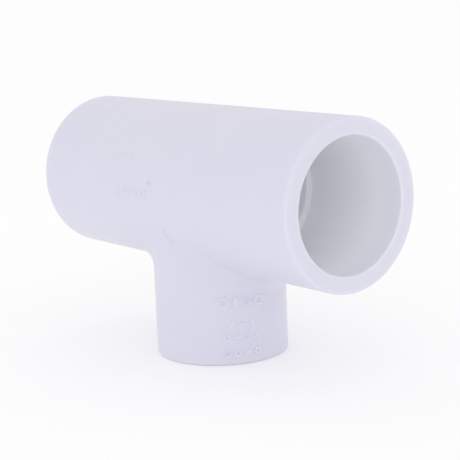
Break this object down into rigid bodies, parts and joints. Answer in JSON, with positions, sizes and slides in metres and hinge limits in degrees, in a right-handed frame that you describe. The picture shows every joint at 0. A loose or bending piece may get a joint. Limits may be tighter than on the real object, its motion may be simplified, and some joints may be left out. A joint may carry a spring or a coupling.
{
  "type": "pipe tee",
  "caption": "Solvent-weld reducing tee for plastic pipe: two in-line sockets on the run and a smaller socket on a square branch, with a rounded crotch.",
  "frame": {"origin": "centre of the branch's mouth, in the plane of its end face, which is the bottom of the part", "axes": "+X along the run, +Z from the branch's mouth up to the run, so both axes of the tee lie in the XZ plane; -Y is the side with the raised row on the run"},
  "size_m": [0.0816, 0.0338, 0.0522],
  "materials": {
    "pvc": "moulded white PVC with a soft sheen"
  },
  "bodies": {
    "root": {"tee_body": "pvc"}
  },
  "joints": []
}
